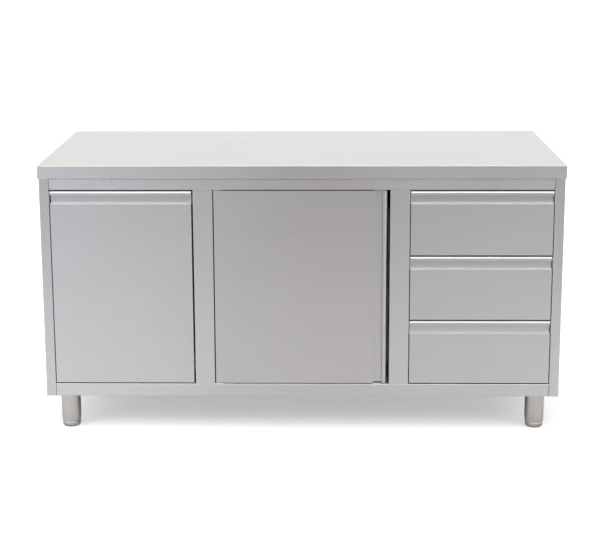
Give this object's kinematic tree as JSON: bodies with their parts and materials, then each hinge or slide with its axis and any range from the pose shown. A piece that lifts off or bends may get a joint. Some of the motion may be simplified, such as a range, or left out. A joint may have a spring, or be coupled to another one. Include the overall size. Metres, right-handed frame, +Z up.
{
  "type": "stainless steel work cabinet table",
  "caption": "Free-standing stainless work table with an enclosed base: pull-out bay, hinged cupboard door and a stack of drawers with full-width grip lips, on levelling feet.",
  "frame": {"origin": "on the floor, under the middle of the worktop", "axes": "+X to the right along the length, +Y from the front to the back, +Z up"},
  "size_m": [1.6, 0.7, 0.84],
  "materials": {
    "worktop_steel": "satin ground, grain along the length",
    "upright_steel": "satin ground, vertical grain",
    "rail_steel": "satin ground, grain along the length",
    "front_steel": "fine satin, horizontal grain, bright grip lip",
    "door_steel": "fine satin, horizontal grain",
    "inner_steel": "mill finish sheet",
    "galvanised_steel": "galvanised, faint spangle",
    "fastener_steel": "bright plated",
    "leg_steel": "satin polished tube, fine grain around the axis",
    "core_board": "chipboard",
    "nylon": "moulded",
    "black_nylon": "moulded",
    "magnet": "sintered"
  },
  "bodies": {
    "carcass": {"worktop": "worktop_steel", "worktop_board": "core_board", "worktop_channels": "galvanised_steel", "worktop_screws": "fastener_steel", "worktop_nuts": "fastener_steel", "left_side_panel": "upright_steel", "right_side_panel": "upright_steel", "back_panel": "inner_steel", "back_rivets": "fastener_steel", "top_rail": "rail_steel", "rear_rail": "rail_steel", "base_shelf": "rail_steel", "base_channels": "galvanised_steel", "left_partition": "upright_steel", "right_partition": "upright_steel", "pull_out_uprights": "galvanised_steel", "drawer_uprights": "galvanised_steel", "pull_out_fixed_rails": "galvanised_steel", "drawer_fixed_rails": "galvanised_steel", "middle_shelf": "inner_steel", "shelf_strips": "galvanised_steel", "shelf_clips": "galvanised_steel", "hinge_brackets": "fastener_steel", "hinge_pins": "fastener_steel", "magnetic_catch": "nylon", "catch_magnet": "magnet", "leg_plates": "galvanised_steel", "leg_bolts": "fastener_steel", "leg_tubes": "leg_steel", "leg_inserts": "black_nylon"},
    "door": {"door_skin": "door_steel", "door_liner": "inner_steel", "door_hinge_blocks": "fastener_steel", "door_bushes": "nylon", "door_strike_plate": "fastener_steel"},
    "lower_drawer": {"lower_drawer_front": "front_steel", "lower_drawer_liner": "inner_steel", "lower_drawer_box": "inner_steel", "lower_drawer_inner_rails": "galvanised_steel"},
    "lower_drawer_slides": {"lower_drawer_middle_rails": "galvanised_steel"},
    "middle_drawer": {"middle_drawer_front": "front_steel", "middle_drawer_liner": "inner_steel", "middle_drawer_box": "inner_steel", "middle_drawer_inner_rails": "galvanised_steel"},
    "middle_drawer_slides": {"middle_drawer_middle_rails": "galvanised_steel"},
    "upper_drawer": {"upper_drawer_front": "front_steel", "upper_drawer_liner": "inner_steel", "upper_drawer_box": "inner_steel", "upper_drawer_inner_rails": "galvanised_steel"},
    "upper_drawer_slides": {"upper_drawer_middle_rails": "galvanised_steel"},
    "pull_out": {"pull_out_front": "front_steel", "pull_out_liner": "inner_steel", "pull_out_tray": "inner_steel", "pull_out_braces": "inner_steel", "pull_out_inner_rails": "galvanised_steel"},
    "pull_out_slides": {"pull_out_middle_rails": "galvanised_steel"},
    "front_left_foot": {"front_left_foot": "leg_steel"},
    "front_right_foot": {"front_right_foot": "leg_steel"},
    "rear_left_foot": {"rear_left_foot": "leg_steel"},
    "rear_right_foot": {"rear_right_foot": "leg_steel"}
  },
  "joints": [
    {"name": "door_swing", "type": "hinge", "parent": "carcass", "child": "door", "pos_m": [-0.255, -0.337, 0.4575], "axis": [0, 0, -1], "range_deg": [0, 95]},
    {"name": "lower_drawer_slide", "type": "slide", "parent": "carcass", "child": "lower_drawer", "axis": [0, -1, 0], "range_m": [0, 0.45]},
    {"name": "lower_drawer_runner_slide", "type": "slide", "parent": "carcass", "child": "lower_drawer_slides", "axis": [0, -1, 0], "range_m": [0, 0.225]},
    {"name": "middle_drawer_slide", "type": "slide", "parent": "carcass", "child": "middle_drawer", "axis": [0, -1, 0], "range_m": [0, 0.45]},
    {"name": "middle_drawer_runner_slide", "type": "slide", "parent": "carcass", "child": "middle_drawer_slides", "axis": [0, -1, 0], "range_m": [0, 0.225]},
    {"name": "upper_drawer_slide", "type": "slide", "parent": "carcass", "child": "upper_drawer", "axis": [0, -1, 0], "range_m": [0, 0.45]},
    {"name": "upper_drawer_runner_slide", "type": "slide", "parent": "carcass", "child": "upper_drawer_slides", "axis": [0, -1, 0], "range_m": [0, 0.225]},
    {"name": "pull_out_slide", "type": "slide", "parent": "carcass", "child": "pull_out", "axis": [0, -1, 0], "range_m": [0, 0.45]},
    {"name": "pull_out_runner_slide", "type": "slide", "parent": "carcass", "child": "pull_out_slides", "axis": [0, -1, 0], "range_m": [0, 0.225]},
    {"name": "front_left_foot_screw", "type": "slide", "parent": "carcass", "child": "front_left_foot", "axis": [0, 0, -1], "range_m": [0, 0.025]},
    {"name": "front_right_foot_screw", "type": "slide", "parent": "carcass", "child": "front_right_foot", "axis": [0, 0, -1], "range_m": [0, 0.025]},
    {"name": "rear_left_foot_screw", "type": "slide", "parent": "carcass", "child": "rear_left_foot", "axis": [0, 0, -1], "range_m": [0, 0.025]},
    {"name": "rear_right_foot_screw", "type": "slide", "parent": "carcass", "child": "rear_right_foot", "axis": [0, 0, -1], "range_m": [0, 0.025]}
  ],
  "couplings": [
    {"joint": "lower_drawer_runner_slide", "follows": "lower_drawer_slide", "ratio": 0.5},
    {"joint": "middle_drawer_runner_slide", "follows": "middle_drawer_slide", "ratio": 0.5},
    {"joint": "upper_drawer_runner_slide", "follows": "upper_drawer_slide", "ratio": 0.5},
    {"joint": "pull_out_runner_slide", "follows": "pull_out_slide", "ratio": 0.5}
  ]
}
